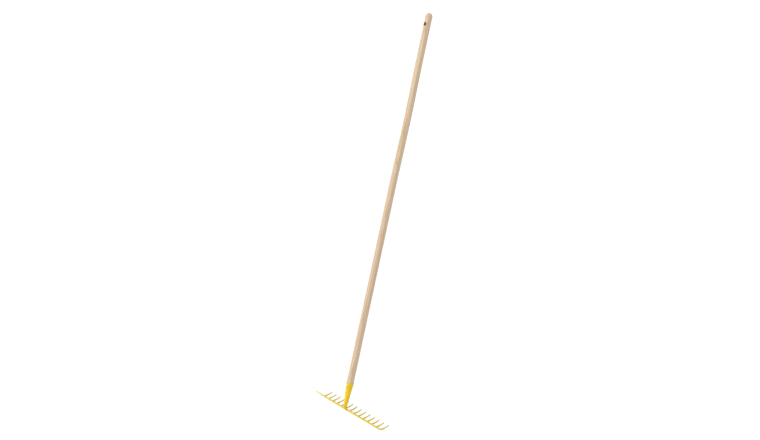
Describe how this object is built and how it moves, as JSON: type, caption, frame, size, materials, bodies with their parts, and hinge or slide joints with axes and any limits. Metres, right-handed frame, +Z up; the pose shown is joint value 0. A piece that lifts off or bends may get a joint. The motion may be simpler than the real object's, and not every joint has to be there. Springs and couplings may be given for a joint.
{
  "type": "garden rake",
  "caption": "Steel rake head, painted yellow, with a row of curved tines and a conical socket on a long round wooden handle with a hanging hole.",
  "frame": {"origin": "centre of the hanging hole, where its axis crosses the handle's axis", "axes": "+Z up the handle, +Y the way the tines point and along the hanging hole, X along the bar with the bent end tine on the +X side"},
  "size_m": [0.4188, 0.072, 1.61],
  "materials": {
    "ash": "sanded, unvarnished or thinly oiled ash",
    "paint": "glossy golden-yellow powder coat on steel",
    "zinc": "yellow zinc-plated steel"
  },
  "bodies": {
    "root": {"handle": "ash", "socket": "paint", "seam_weld": "paint", "socket_screws": "zinc", "neck": "paint", "socket_weld": "paint", "neck_weld": "paint", "rake_bar": "paint", "tine_02": "paint", "tine_03": "paint", "tine_04": "paint", "tine_05": "paint", "tine_06": "paint", "tine_07": "paint", "tine_08": "paint", "tine_09": "paint", "tine_10": "paint", "tine_11": "paint", "tine_12": "paint", "tine_13": "paint", "tine_14": "paint", "tine_welds": "paint"}
  },
  "joints": []
}
